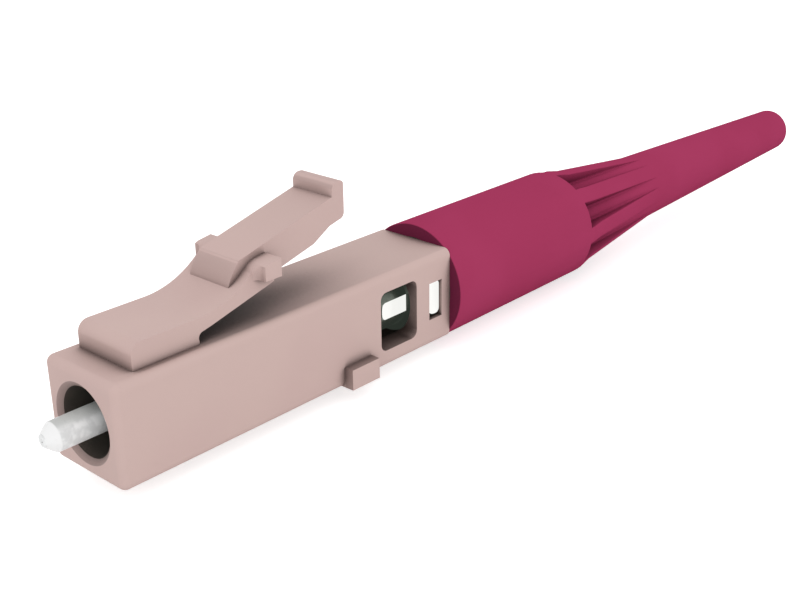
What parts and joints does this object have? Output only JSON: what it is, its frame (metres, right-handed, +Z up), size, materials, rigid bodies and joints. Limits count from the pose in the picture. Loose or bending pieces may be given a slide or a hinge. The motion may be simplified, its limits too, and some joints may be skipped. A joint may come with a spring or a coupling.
{
  "type": "lc fibre connector",
  "caption": "Small square fibre plug with a sprung top latch, a floating ceramic ferrule and a slim ribbed strain relief boot.",
  "frame": {"origin": "on the ferrule's axis, 0.14 mm behind the plug's front face", "axes": "+X runs back to the boot's tail, +Z points up to the latch, the ferrule points to -X"},
  "size_m": [0.0582, 0.006, 0.0098],
  "materials": {
    "housing_plastic": "moulded dusty pink beige plastic, satin",
    "ferrule_ceramic": "polished white ceramic",
    "plated_metal": "bright nickel plating",
    "tube_plastic": "white waxy plastic",
    "spring_steel": "drawn stainless wire",
    "sleeve_metal": "plain turned sleeve",
    "boot_rubber": "moulded magenta elastomer, satin"
  },
  "bodies": {
    "plug": {"housing": "housing_plastic", "rear_body": "plated_metal", "crimp_sleeve": "sleeve_metal", "boot": "boot_rubber", "spring": "spring_steel"},
    "latch": {"latch_arm": "housing_plastic"},
    "ferrule_set": {"ferrule": "ferrule_ceramic", "ferrule_holder": "plated_metal", "guide_tube": "tube_plastic"}
  },
  "joints": [
    {"name": "latch_press", "type": "hinge", "parent": "plug", "child": "latch", "pos_m": [0.00475, 0, 0.00306], "axis": [0, 1, 0], "range_deg": [0, 12], "stiffness_Nm_per_rad": 0.05},
    {"name": "ferrule_float", "type": "slide", "parent": "plug", "child": "ferrule_set", "axis": [1, 0, 0], "range_m": [0, 0.001], "stiffness_N_per_m": 1000, "deforming": ["spring"]}
  ]
}
